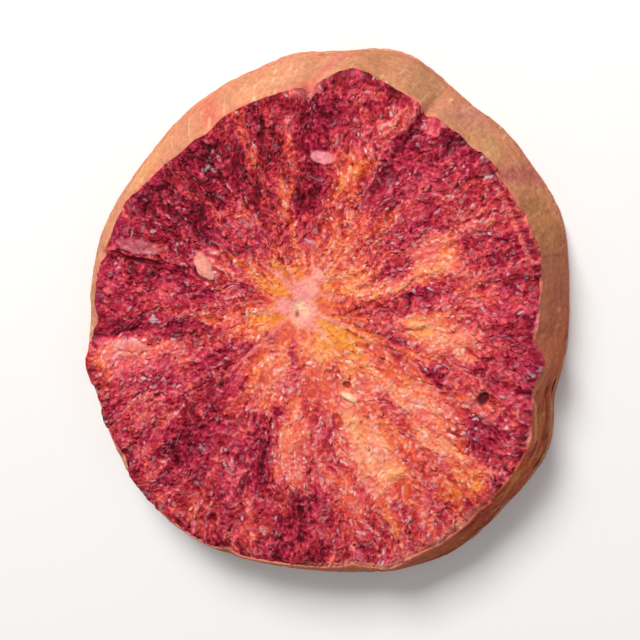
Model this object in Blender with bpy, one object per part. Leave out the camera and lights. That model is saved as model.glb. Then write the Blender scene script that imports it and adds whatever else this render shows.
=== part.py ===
"""A freeze-dried blood orange slice, lying on its wider cut face.

Lengths are in metres. Angles are in degrees, counter-clockwise from +X as seen from above.
The origin is the middle of the slice's outline, at the height of the surface it lies on.
The segments spread from the pith, which sits a little off that middle.
"""
import bpy
import numpy as np

MM = 0.001

# The slice as cut from a peeled fruit, away from the fruit's widest circle
THICKNESS = 7.4 * MM
FRUIT_RADIUS = 31.6 * MM
LOWER_CUT_HEIGHT = 6.0 * MM
PITH_X = -1.61 * MM
PITH_Y = 2.22 * MM

# The oval outline of the upper face, placed from the pith
FACE_HALF_LENGTH = 31.4 * MM
FACE_HALF_WIDTH = 27.2 * MM
FACE_LONG_AXIS = 63.0
FACE_MIDDLE_X = 1.6 * MM
FACE_MIDDLE_Y = -3.0 * MM

# Where the whole wall swells or draws in: direction, half width, amount
SWELLS = [
    (73.0, 13.0, 1.0 * MM),
    (165.0, 18.0, 0.8 * MM),
    (264.0, 14.0, -0.8 * MM),
    (303.0, 20.0, 2.2 * MM),
    (329.0, 9.0, 1.8 * MM),
]

# Where only the upper rim swells or draws in: direction, half width, amount
RIM_LOBES = [
    (3.0, 8.0, 0.12 * MM),
    (14.0, 7.0, 0.70 * MM),
    (28.5, 6.0, 0.45 * MM),
    (44.5, 3.5, -0.55 * MM),
    (65.0, 7.0, 0.35 * MM),
    (75.5, 6.0, 1.00 * MM),
    (116.5, 4.0, -0.65 * MM),
    (126.0, 6.0, -0.50 * MM),
    (150.0, 5.0, 0.25 * MM),
    (184.5, 3.0, -0.55 * MM),
    (196.0, 6.0, 0.85 * MM),
    (288.0, 4.0, 0.75 * MM),
    (318.0, 10.0, 0.90 * MM),
    (331.5, 3.0, 0.35 * MM),
    (348.5, 3.0, 0.85 * MM),
    (354.5, 2.5, -0.45 * MM),
]

# Where only the foot of the wall swells or draws in: direction, half width, amount
FOOT_SWELLS = [
    (19.0, 9.0, 0.75 * MM),
    (50.0, 6.0, -0.50 * MM),
    (68.0, 8.0, 0.80 * MM),
    (93.0, 9.0, 1.00 * MM),
    (108.0, 8.0, 0.40 * MM),
    (122.0, 14.0, 0.55 * MM),
    (290.0, 16.0, 0.35 * MM),
    (319.0, 7.0, 0.60 * MM),
    (336.0, 7.0, -0.45 * MM),
    (350.0, 8.0, 0.15 * MM),
]

# The membranes between the segments: direction, notch in the rim, groove in the face
MEMBRANES = [
    (8.0, 0.10 * MM, 0.35 * MM),
    (23.5, 0.10 * MM, 0.25 * MM),
    (56.2, 0.90 * MM, 0.80 * MM),
    (86.0, 1.10 * MM, 0.90 * MM),
    (108.0, 0.10 * MM, 0.40 * MM),
    (134.0, 0.10 * MM, 0.35 * MM),
    (166.0, 0.30 * MM, 0.55 * MM),
    (189.0, 0.00 * MM, 0.45 * MM),
    (220.0, 0.25 * MM, 0.40 * MM),
    (252.0, 0.30 * MM, 0.40 * MM),
    (280.0, 0.20 * MM, 0.35 * MM),
    (310.5, 0.15 * MM, 0.30 * MM),
    (340.0, 0.30 * MM, 0.45 * MM),
]
NOTCH_HALF_WIDTH = 1.6
GROOVE_HALF_WIDTH = 0.75 * MM
GROOVE_START = 0.30

# The relief of the cut faces
CROWN_HEIGHT = 0.32 * MM
SAG_HEIGHT = 0.20 * MM
RIDGE_HEIGHT = 0.30 * MM
RIDGE_COUNTS = (31, 44, 57, 71)
RIDGE_STEPS = (3.1, 4.3, 5.9, 7.3)
RIDGE_SEED = 7
RIM_ROUNDING = 0.40 * MM
UNDERSIDE_DEPTH = 0.35 * MM
FLAT_SPOT_RADIUS = 8.0 * MM
FLAT_SPOT_FADE = 5.0 * MM

# The hollow at the pith and the small things in the flesh: direction, distance, half length,
# half width, turn of its length from the radial line, height
PITH_PIT_RADIUS = 1.1 * MM
PITH_PIT_DEPTH = 0.8 * MM
FLECKS = [
    (156.0, 12.9 * MM, 1.6 * MM, 1.0 * MM, -41.0, 0.7 * MM),
    (80.5, 18.9 * MM, 1.6 * MM, 0.9 * MM, 87.5, 0.6 * MM),
    (299.0, 12.4 * MM, 1.5 * MM, 0.7 * MM, 36.0, 0.6 * MM),
    (335.0, 25.0 * MM, 0.9 * MM, 0.8 * MM, 0.0, -0.9 * MM),
    (159.7, 21.4 * MM, 2.9 * MM, 1.1 * MM, 10.0, 0.4 * MM),
]

# The peeled side wall
WRINKLE_DEPTH = 0.12 * MM
WRINKLE_COUNTS = (23, 41)
WALL_ROWS = 5
BASE_ROUNDING = 0.35 * MM

# Mesh fineness
SPOKES = 180
FACE_RINGS = (0.975, 0.94, 0.895, 0.85, 0.80, 0.75, 0.70, 0.65, 0.60, 0.55, 0.50, 0.45, 0.40)
FACE_INNER_RINGS = (0.35, 0.30, 0.25, 0.20)
FACE_CORE_RINGS = (0.155, 0.115, 0.075, 0.04)
BASE_RINGS = (0.985, 0.95)
BASE_INNER_RINGS = (0.88, 0.78, 0.67, 0.56, 0.45, 0.34, 0.23)
BASE_CORE_RINGS = (0.15, 0.075)

FLESH_COLOUR = (0.42, 0.055, 0.060, 1.0)
FLESH_ROUGHNESS = 0.75


def bump(distance, half_width):
    """A smooth hump of height one that falls off over half_width."""
    return np.exp(-(distance / half_width) ** 2)


def turn_between(angle, direction):
    """The signed turn in degrees from direction to angle, between -180 and 180."""
    return (angle - direction + 180.0) % 360.0 - 180.0


def oval_reach(angle):
    """The distance from the pith to the plain oval in each direction."""
    axis = np.radians(FACE_LONG_AXIS)
    heading = np.radians(angle) - axis
    middle_along = FACE_MIDDLE_X * np.cos(axis) + FACE_MIDDLE_Y * np.sin(axis)
    middle_across = -FACE_MIDDLE_X * np.sin(axis) + FACE_MIDDLE_Y * np.cos(axis)
    along = np.cos(heading) / FACE_HALF_LENGTH
    across = np.sin(heading) / FACE_HALF_WIDTH
    start_along = -middle_along / FACE_HALF_LENGTH
    start_across = -middle_across / FACE_HALF_WIDTH
    square = along ** 2 + across ** 2
    cross = along * start_along + across * start_across
    rest = start_along ** 2 + start_across ** 2 - 1.0
    return (-cross + np.sqrt(cross ** 2 - square * rest)) / square


def swell(angle, humps):
    """How far the outline swells in each direction, by a list of humps."""
    total = 0.0 * angle
    for direction, half_width, amount in humps:
        total = total + amount * bump(turn_between(angle, direction), half_width)
    return total


def face_outline(angle):
    """The upper face's outline, drawn in where each membrane meets the rim."""
    reach = oval_reach(angle) + swell(angle, SWELLS) + swell(angle, RIM_LOBES)
    for direction, notch, _ in MEMBRANES:
        reach = reach - notch * bump(turn_between(angle, direction), NOTCH_HALF_WIDTH)
    return reach


def fruit_profile(height):
    """The radius of the round fruit at a height above the slice's underside."""
    return np.sqrt(FRUIT_RADIUS ** 2 - (LOWER_CUT_HEIGHT + height) ** 2)


def wall_outline(angle, height):
    """The side wall's distance from the pith: notched at the top, smooth and wider below."""
    share = np.clip(height / THICKNESS, 0.0, 1.0)
    foot = oval_reach(angle) + swell(angle, SWELLS) + swell(angle, FOOT_SWELLS)
    edge = share * face_outline(angle) + (1.0 - share) * foot
    flare = fruit_profile(height) - fruit_profile(THICKNESS)
    wrinkle = 0.0
    for count in WRINKLE_COUNTS:
        wrinkle = wrinkle + WRINKLE_DEPTH * np.cos(np.radians(count * angle) + 9.0 * share)
    return edge + flare + wrinkle * np.sin(np.pi * share)


def segment_crown(angle):
    """Each segment's gentle crown: zero at its two membranes and one midway."""
    directions = np.array([membrane[0] for membrane in MEMBRANES])
    ends = np.append(directions, directions[0] + 360.0)
    wrapped = (angle - directions[0]) % 360.0 + directions[0]
    index = np.clip(np.searchsorted(ends, wrapped, side="right") - 1, 0, len(directions) - 1)
    share = (wrapped - ends[index]) / (ends[index + 1] - ends[index])
    return np.sin(np.pi * share) ** 0.7


def juice_sac_ridges(angle, share):
    """Short uneven ridges, pointing at the pith, where the opened juice sacs lie."""
    draw = np.random.default_rng(RIDGE_SEED)
    total = 0.0
    for count, step in zip(RIDGE_COUNTS, RIDGE_STEPS):
        phase, bend, stagger = draw.uniform(0.0, 2.0 * np.pi, 3)
        sway = np.sin(2.0 * np.pi * step * share + bend)
        across = np.cos(np.radians(count * angle) + phase + sway)
        along = np.cos(2.0 * np.pi * step * share + stagger + 3.0 * np.sin(np.radians(7.0 * angle)))
        total = total + across * (0.6 + 0.4 * along)
    return total / len(RIDGE_COUNTS)


def fleck_height(x, y):
    """The seeds, flakes and pits that stand out of the upper face."""
    total = 0.0
    for direction, distance, half_length, half_width, turn, height in FLECKS:
        centre = np.radians(direction)
        heading = np.radians(direction + turn)
        offset_x = x - distance * np.cos(centre)
        offset_y = y - distance * np.sin(centre)
        along = offset_x * np.cos(heading) + offset_y * np.sin(heading)
        across = -offset_x * np.sin(heading) + offset_y * np.cos(heading)
        spread = (along / half_length) ** 2 + (across / half_width) ** 2
        total = total + height * np.exp(-spread ** 1.5)
    return total


def upper_height(angle, share):
    """The height of the upper face at a share of the way from the pith to the rim."""
    reach = face_outline(angle) * share
    x = reach * np.cos(np.radians(angle))
    y = reach * np.sin(np.radians(angle))
    outward = np.clip((share - GROOVE_START) / (1.0 - GROOVE_START), 0.0, 1.0)
    height = THICKNESS + CROWN_HEIGHT * (segment_crown(angle) - 0.6) * np.sqrt(outward)
    height = height + SAG_HEIGHT * share * np.cos(np.radians(2.0 * angle - 40.0))
    height = height + RIDGE_HEIGHT * juice_sac_ridges(angle, share) * share ** 0.5
    for direction, _, groove in MEMBRANES:
        beside = reach * np.sin(np.radians(turn_between(angle, direction)))
        ahead = np.cos(np.radians(turn_between(angle, direction))) > 0.0
        height = height - groove * outward * ahead * bump(beside, GROOVE_HALF_WIDTH)
    height = height + fleck_height(x, y)
    height = height - PITH_PIT_DEPTH * bump(reach, PITH_PIT_RADIUS)
    return height - RIM_ROUNDING * np.clip((share - 0.94) / 0.06, 0.0, 1.0) ** 2


def lower_height(angle, share):
    """The underside: flat where it rests, shallowly hollow along the membranes."""
    reach = wall_outline(angle, 0.0) * share
    hollow = 0.5 - 0.5 * juice_sac_ridges(angle + 11.0, share)
    for direction, _, groove in MEMBRANES:
        beside = reach * np.sin(np.radians(turn_between(angle, direction)))
        ahead = np.cos(np.radians(turn_between(angle, direction))) > 0.0
        hollow = hollow + groove / MM * ahead * bump(beside, GROOVE_HALF_WIDTH)
    clear = np.clip((reach - FLAT_SPOT_RADIUS) / FLAT_SPOT_FADE, 0.0, 1.0)
    return UNDERSIDE_DEPTH * np.clip(hollow - 0.4, 0.0, 1.0) * clear


def ring_points(count, reach_of, height_of):
    """One closed ring of points, from its reach and height in each direction."""
    angle = np.arange(count) * 360.0 / count
    reach = reach_of(angle)
    height = height_of(angle)
    x = PITH_X + reach * np.cos(np.radians(angle))
    y = PITH_Y + reach * np.sin(np.radians(angle))
    return np.column_stack([x, y, np.broadcast_to(height, x.shape)])


def upper_ring(count, share):
    """A ring of the upper face."""
    return ring_points(
        count, lambda a: face_outline(a) * share, lambda a: upper_height(a, share))


def wall_ring(share):
    """A ring of the side wall, at a share of the way down from the rim to the base."""
    bottom = BASE_ROUNDING

    def height(angle):
        top = upper_height(angle, 1.0) - RIM_ROUNDING
        return top + (bottom - top) * share

    return ring_points(SPOKES, lambda a: wall_outline(a, height(a)), height)


def lower_ring(count, share):
    """A ring of the underside."""
    return ring_points(
        count, lambda a: wall_outline(a, 0.0) * share, lambda a: lower_height(a, share))


def slice_rings():
    """Every ring of the slice, from the pith over the rim and under to the middle again."""
    rings = []
    for share in reversed(FACE_CORE_RINGS):
        rings.append(upper_ring(SPOKES // 4, share))
    for share in reversed(FACE_INNER_RINGS):
        rings.append(upper_ring(SPOKES // 2, share))
    for share in reversed(FACE_RINGS):
        rings.append(upper_ring(SPOKES, share))
    for row in range(WALL_ROWS):
        rings.append(wall_ring(row / (WALL_ROWS - 1)))
    for share in BASE_RINGS:
        rings.append(lower_ring(SPOKES, share))
    for share in BASE_INNER_RINGS:
        rings.append(lower_ring(SPOKES // 2, share))
    for share in BASE_CORE_RINGS:
        rings.append(lower_ring(SPOKES // 4, share))
    return rings


def join_rings(first, first_start, second, second_start):
    """Faces between two rings of equal count, or where one has twice the other's points."""
    faces = []
    if len(first) == len(second):
        count = len(first)
        for i in range(count):
            j = (i + 1) % count
            faces.append((first_start + i, second_start + i, second_start + j))
            faces.append((first_start + i, second_start + j, first_start + j))
    elif len(second) == 2 * len(first):
        count = len(first)
        for i in range(count):
            j = (i + 1) % count
            left, middle, right = (second_start + (2 * i + k) % (2 * count) for k in range(3))
            faces.append((first_start + i, left, middle))
            faces.append((first_start + i, middle, first_start + j))
            faces.append((first_start + j, middle, right))
    else:
        for face in join_rings(second, second_start, first, first_start):
            faces.append(face[::-1])
    return faces


def slice_mesh():
    """The closed skin of the slice."""
    rings = slice_rings()
    upper_middle = (PITH_X, PITH_Y, float(upper_height(np.zeros(1), 0.0)[0]))
    lower_middle = (PITH_X, PITH_Y, 0.0)
    points = [upper_middle]
    starts = []
    for ring in rings:
        starts.append(len(points))
        points.extend(map(tuple, ring.tolist()))
    points.append(lower_middle)
    faces = []
    count = len(rings[0])
    for i in range(count):
        faces.append((0, starts[0] + i, starts[0] + (i + 1) % count))
    for k in range(len(rings) - 1):
        faces.extend(join_rings(rings[k], starts[k], rings[k + 1], starts[k + 1]))
    count = len(rings[-1])
    last = len(points) - 1
    for i in range(count):
        faces.append((last, starts[-1] + (i + 1) % count, starts[-1] + i))
    mesh = bpy.data.meshes.new("orange_slice")
    mesh.from_pydata(points, [], faces)
    mesh.validate()
    mesh.update()
    return mesh


def flesh_material():
    """Dry, matt blood orange flesh."""
    material = bpy.data.materials.new("dried_flesh")
    material.use_nodes = True
    shader = material.node_tree.nodes["Principled BSDF"]
    shader.inputs["Base Color"].default_value = FLESH_COLOUR
    shader.inputs["Roughness"].default_value = FLESH_ROUGHNESS
    shader.inputs["Metallic"].default_value = 0.0
    return material


def build():
    """Clear the scene and add the slice."""
    for old in list(bpy.data.objects):
        bpy.data.objects.remove(old, do_unlink=True)
    mesh = slice_mesh()
    mesh.shade_smooth()
    mesh.set_sharp_from_angle(angle=np.radians(55.0))
    mesh.materials.append(flesh_material())
    piece = bpy.data.objects.new("orange_slice", mesh)
    bpy.context.scene.collection.objects.link(piece)


build()
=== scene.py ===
"""The looks of a freeze-dried blood orange slice, lying on its wider cut face.

Lengths are in metres, but in millimetres in the tables and for the patches of a noise.
Angles are in degrees, counter-clockwise from +X as seen from above.
Places on the slice are given from the pith: a direction, and a reach in metres or as a share
of the way to the rim. The sizes under "The slice" repeat the solid's own.
"""

import bpy
import numpy as np
from mathutils import Matrix, Vector


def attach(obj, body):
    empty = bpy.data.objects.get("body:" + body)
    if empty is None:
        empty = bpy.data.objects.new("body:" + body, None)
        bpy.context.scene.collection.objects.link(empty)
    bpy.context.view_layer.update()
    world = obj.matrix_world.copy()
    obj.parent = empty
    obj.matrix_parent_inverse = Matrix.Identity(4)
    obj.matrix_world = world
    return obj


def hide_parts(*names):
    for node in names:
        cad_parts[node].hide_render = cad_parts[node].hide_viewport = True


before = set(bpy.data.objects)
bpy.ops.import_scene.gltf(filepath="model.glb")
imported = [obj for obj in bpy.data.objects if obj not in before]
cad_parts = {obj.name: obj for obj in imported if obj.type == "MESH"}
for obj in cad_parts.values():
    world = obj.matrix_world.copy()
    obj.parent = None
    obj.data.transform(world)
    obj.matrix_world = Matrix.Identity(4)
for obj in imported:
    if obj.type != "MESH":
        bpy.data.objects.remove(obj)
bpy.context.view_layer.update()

MM = 0.001

# ---- The slice
THICKNESS = 7.4 * MM
FRUIT_RADIUS = 31.6 * MM
LOWER_CUT_HEIGHT = 6 * MM
PITH_X = -1.61 * MM
PITH_Y = 2.22 * MM
FACE_HALF_LENGTH = 31.4 * MM
FACE_HALF_WIDTH = 27.2 * MM
FACE_LONG_AXIS = 63
FACE_MIDDLE_X = 1.6 * MM
FACE_MIDDLE_Y = -3 * MM

# Where the whole wall swells or draws in: direction, half width, millimetres
SWELLS = [
    (73, 13, 1),
    (165, 18, 0.8),
    (264, 14, -0.8),
    (303, 20, 2.2),
    (329, 9, 1.8),
]

# Where only the upper rim swells or draws in: direction, half width, millimetres
RIM_LOBES = [
    (3, 8, 0.12),
    (14, 7, 0.7),
    (28.5, 6, 0.45),
    (44.5, 3.5, -0.55),
    (65, 7, 0.35),
    (75.5, 6, 1),
    (116.5, 4, -0.65),
    (126, 6, -0.5),
    (150, 5, 0.25),
    (184.5, 3, -0.55),
    (196, 6, 0.85),
    (288, 4, 0.75),
    (318, 10, 0.9),
    (331.5, 3, 0.35),
    (348.5, 3, 0.85),
    (354.5, 2.5, -0.45),
]

# Where only the foot of the wall swells or draws in: direction, half width, millimetres
FOOT_SWELLS = [
    (19, 9, 0.75),
    (50, 6, -0.5),
    (68, 8, 0.8),
    (93, 9, 1),
    (108, 8, 0.4),
    (122, 14, 0.55),
    (290, 16, 0.35),
    (319, 7, 0.6),
    (336, 7, -0.45),
    (350, 8, 0.15),
]

# The membranes between the segments: direction, notch in the rim and groove in the face,
# both in millimetres
MEMBRANES = [
    (8, 0.1, 0.35),
    (23.5, 0.1, 0.25),
    (56.2, 0.9, 0.8),
    (86, 1.1, 0.9),
    (108, 0.1, 0.4),
    (134, 0.1, 0.35),
    (166, 0.3, 0.55),
    (189, 0, 0.45),
    (220, 0.25, 0.4),
    (252, 0.3, 0.4),
    (280, 0.2, 0.35),
    (310.5, 0.15, 0.3),
    (340, 0.3, 0.45),
]
NOTCH_HALF_WIDTH = 1.6
GROOVE_HALF_WIDTH = 0.75 * MM
GROOVE_START = 0.3
CROWN_HEIGHT = 0.32 * MM
SAG_HEIGHT = 0.2 * MM
PITH_PIT_RADIUS = 1.1 * MM
PITH_PIT_DEPTH = 0.8 * MM


def bump(distance, half_width):
    """A smooth hump of height one that falls off over half_width."""
    return np.exp(-(distance / half_width) ** 2)


def ramp(value, start, end):
    """A smooth rise from 0 at start to 1 at end."""
    share = np.clip((value - start) / (end - start), 0, 1)
    return share * share * (3 - 2 * share)


def turn_between(angle, direction):
    """The signed turn in degrees from direction to angle, between -180 and 180."""
    return (angle - direction + 180) % 360 - 180


def near(angle, direction, half_width):
    """A hump of height one round a direction, which falls off over half_width degrees."""
    return bump(turn_between(angle, direction), half_width)


def oval_reach(angle):
    """The distance from the pith to the plain oval in each direction."""
    axis = np.radians(FACE_LONG_AXIS)
    heading = np.radians(angle) - axis
    middle_along = FACE_MIDDLE_X * np.cos(axis) + FACE_MIDDLE_Y * np.sin(axis)
    middle_across = -FACE_MIDDLE_X * np.sin(axis) + FACE_MIDDLE_Y * np.cos(axis)
    along = np.cos(heading) / FACE_HALF_LENGTH
    across = np.sin(heading) / FACE_HALF_WIDTH
    start_along = -middle_along / FACE_HALF_LENGTH
    start_across = -middle_across / FACE_HALF_WIDTH
    square = along ** 2 + across ** 2
    cross = along * start_along + across * start_across
    rest = start_along ** 2 + start_across ** 2 - 1
    return (-cross + np.sqrt(cross ** 2 - square * rest)) / square


def swell(angle, humps):
    """How far the outline swells in each direction, by a list of humps."""
    total = 0 * angle
    for direction, half_width, amount in humps:
        total += amount * MM * near(angle, direction, half_width)
    return total


def face_outline(angle):
    """The upper face's outline, drawn in where each membrane meets the rim."""
    reach = oval_reach(angle) + swell(angle, SWELLS) + swell(angle, RIM_LOBES)
    for direction, notch, _ in MEMBRANES:
        reach -= notch * MM * near(angle, direction, NOTCH_HALF_WIDTH)
    return reach


def fruit_profile(height):
    """The radius of the round fruit at a height above the slice's underside."""
    return np.sqrt(FRUIT_RADIUS ** 2 - (LOWER_CUT_HEIGHT + height) ** 2)


def wall_outline(angle, height):
    """The side wall's distance from the pith: notched at the top, smooth and wider below."""
    share = np.clip(height / THICKNESS, 0, 1)
    foot = oval_reach(angle) + swell(angle, SWELLS) + swell(angle, FOOT_SWELLS)
    edge = share * face_outline(angle) + (1 - share) * foot
    return edge + fruit_profile(height) - fruit_profile(THICKNESS)


def segment_crown(angle):
    """Each segment's gentle crown: zero at its two membranes and one midway."""
    directions = np.array([membrane[0] for membrane in MEMBRANES])
    ends = np.append(directions, directions[0] + 360)
    wrapped = (angle - directions[0]) % 360 + directions[0]
    index = np.clip(np.searchsorted(ends, wrapped, side="right") - 1, 0, len(directions) - 1)
    share = (wrapped - ends[index]) / (ends[index + 1] - ends[index])
    return np.sin(np.pi * np.clip(share, 0, 1)) ** 0.7


def membrane_grooves(angle, reach):
    """How deep the grooves along the membranes are at each place, in metres."""
    total = 0 * reach
    for direction, _, groove in MEMBRANES:
        turn = turn_between(angle, direction)
        beside = reach * np.sin(np.radians(turn))
        total += groove * MM * (np.abs(turn) < 90) * bump(beside, GROOVE_HALF_WIDTH)
    return total


# ---- Repeatable randomness
def chance(i, j, seed):
    """A repeatable random number from 0 to 1 for each pair of whole numbers."""
    i = np.asarray(i, np.int64)
    j = np.asarray(j, np.int64)
    mixed = (i * 374761393 + j * 668265263 + seed * 1274126177) & 0xFFFFFFFF
    mixed = ((mixed ^ (mixed >> 13)) * 1274126177) & 0xFFFFFFFF
    mixed = mixed ^ (mixed >> 16)
    return mixed / 4294967296


def mottle(x, y, seed, wrap=None):
    """Soft noise from -1 to 1 in steps of one; wrap makes x repeat after that many steps."""
    i = np.floor(x).astype(np.int64)
    j = np.floor(y).astype(np.int64)
    right = x - i
    up = y - j
    right = right * right * (3 - 2 * right)
    up = up * up * (3 - 2 * up)
    left_i = i if wrap is None else i % wrap
    right_i = i + 1 if wrap is None else (i + 1) % wrap
    low = chance(left_i, j, seed) * (1 - right) + chance(right_i, j, seed) * right
    high = chance(left_i, j + 1, seed) * (1 - right) + chance(right_i, j + 1, seed) * right
    return 2 * (low * (1 - up) + high * up) - 1


def rim_mottle(angle, step, seed):
    """Soft noise from -1 to 1 round the slice, in steps of so many degrees."""
    return mottle(angle / step, 0 * angle, seed, round(360 / step))


def rough_mottle(x, y, size, seed, layers):
    """Noise of several sizes in the plane, the largest size millimetres across."""
    total = 0
    weight = 1
    for layer in range(layers):
        scale = 2 ** layer / (size * MM)
        total += weight * mottle(x * scale + 31.7 * layer, y * scale, seed + layer)
        weight *= 0.55
    return total


def radial_mottle(angle, reach, width, length, seed):
    """Soft noise from -1 to 1 in patches of so many millimetres that point at the pith."""
    level = np.log2(np.maximum(2 * np.pi * reach / (6 * (width * MM)), 1))
    total = 0 * reach
    power = 0 * reach
    for step in (0, 1):
        whole = np.floor(level).astype(np.int64) + step
        columns = 6 * 2 ** whole
        weight = 1 - np.abs(level - whole)
        noise = mottle(angle / 360 * columns, reach / (length * MM), seed + whole, columns)
        total += weight * noise
        power += weight ** 2
    return total / np.sqrt(power)


def ridge(noise, width):
    """One along the lines where soft noise changes sign, falling to zero beside them."""
    return 1 - ramp(np.abs(noise), 0, width)


class Cells:
    """An uneven mosaic of cells that point at the pith, like juice sacs or their grains."""

    def __init__(self, angle, reach, width, length, seed, looseness=0.85):
        self.nearest = np.full(angle.shape, 9.0)
        self.second = np.full(angle.shape, 9.0)
        self.row = np.zeros(angle.shape, np.int64)
        self.column = np.zeros(angle.shape, np.int64)
        self.angle = np.array(angle)
        self.reach = np.array(reach)
        self.seed = seed
        own_row = np.floor(reach / length).astype(np.int64)
        for row_step in (-1, 0, 1):
            row = own_row + row_step
            middle = (np.maximum(row, 0) + 0.5) * length
            columns = np.maximum(np.round(2 * np.pi * middle / width), 5).astype(np.int64)
            step = 360 / columns
            lead = 137.5 * row
            own_column = np.floor((angle - lead) / step).astype(np.int64)
            for column_step in (-1, 0, 1):
                column = own_column + column_step
                key = column % columns
                sideways = 0.5 + looseness * (chance(row, key, seed) - 0.5)
                outward = 0.5 + looseness * (chance(row, key, seed + 1) - 0.5)
                centre_angle = lead + (column + sideways) * step
                centre_reach = (row + outward) * length
                turn = np.radians(angle - centre_angle)
                across = np.sin(turn) * np.maximum(reach, 0.5 * width) / width
                along = (reach - centre_reach) / length
                distance = np.sqrt(across ** 2 + along ** 2)
                distance = np.where(row < 0, 9, distance)
                closer = distance < self.nearest
                self.second = np.where(closer, self.nearest, np.minimum(self.second, distance))
                self.nearest = np.where(closer, distance, self.nearest)
                self.row = np.where(closer, row, self.row)
                self.column = np.where(closer, key, self.column)
                self.angle = np.where(closer, centre_angle, self.angle)
                self.reach = np.where(closer, centre_reach, self.reach)

    def draw(self, number):
        """A random number from 0 to 1 for each cell; each number is another draw."""
        return chance(self.row, self.column, self.seed + 10 + number)

    def border(self):
        """Zero on the line between two cells, rising to about one inside."""
        return np.clip(self.second - self.nearest, 0, 1)

    def inside(self, width):
        """Zero on the line between two cells, one further than width inside."""
        return ramp(self.border(), 0, width)


# ---- Colours
def linear(code):
    """A linear colour from its hexadecimal sRGB code."""
    value = np.array([int(code[i:i + 2], 16) for i in (0, 2, 4)]) / 255
    return np.where(value <= 0.04045, value / 12.92, ((value + 0.055) / 1.055) ** 2.4)


# Flesh from darkest to palest, in rosy, orange and golden flesh
TONES = [
    [linear(code) for code in ("46000a", "8a0f2d", "bd2d4a", "df5a66", "f28e8a", "fac8bc")],
    [linear(code) for code in ("480307", "941b1e", "cc4032", "ec6c4c", "f89c70", "fccead")],
    [linear(code) for code in ("5a1806", "a43e14", "dc6e28", "f3963e", "fcb864", "fdd8a2")],
]
PITH_TONE = linear("f8a690")
PITH_PINK = linear("f48c8a")
PITH_CREAM = linear("fad6b2")
PITH_OLIVE = linear("b88a58")
PITH_HOLE_SHADE = linear("7a3a1c")
# Colours of the painted highlights (glints) in dark, greyer and pale flesh
GLINT_TONE = linear("bf8090")
GLINT_GREY = linear("d2b6c0")
GLINT_PALE = linear("f8dad0")
WALL_TONE = linear("c68061")
WALL_PALE = linear("da9a72")
WALL_OLIVE = linear("a4785c")
WALL_LIT_SALMON = linear("c88262")
WALL_PINK = linear("c0625a")
WALL_SHADE_BROWN = linear("b4482a")
WALL_CREASE_SHADE = linear("6e2a1a")
WALL_PURPLE = linear("6c2c2e")
WALL_GOLD = linear("c6823e")
WALL_VEIN = linear("ecc79c")
LIP_TONE = linear("dc7a68")
LEAF_TONE = linear("e08a8c")

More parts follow.
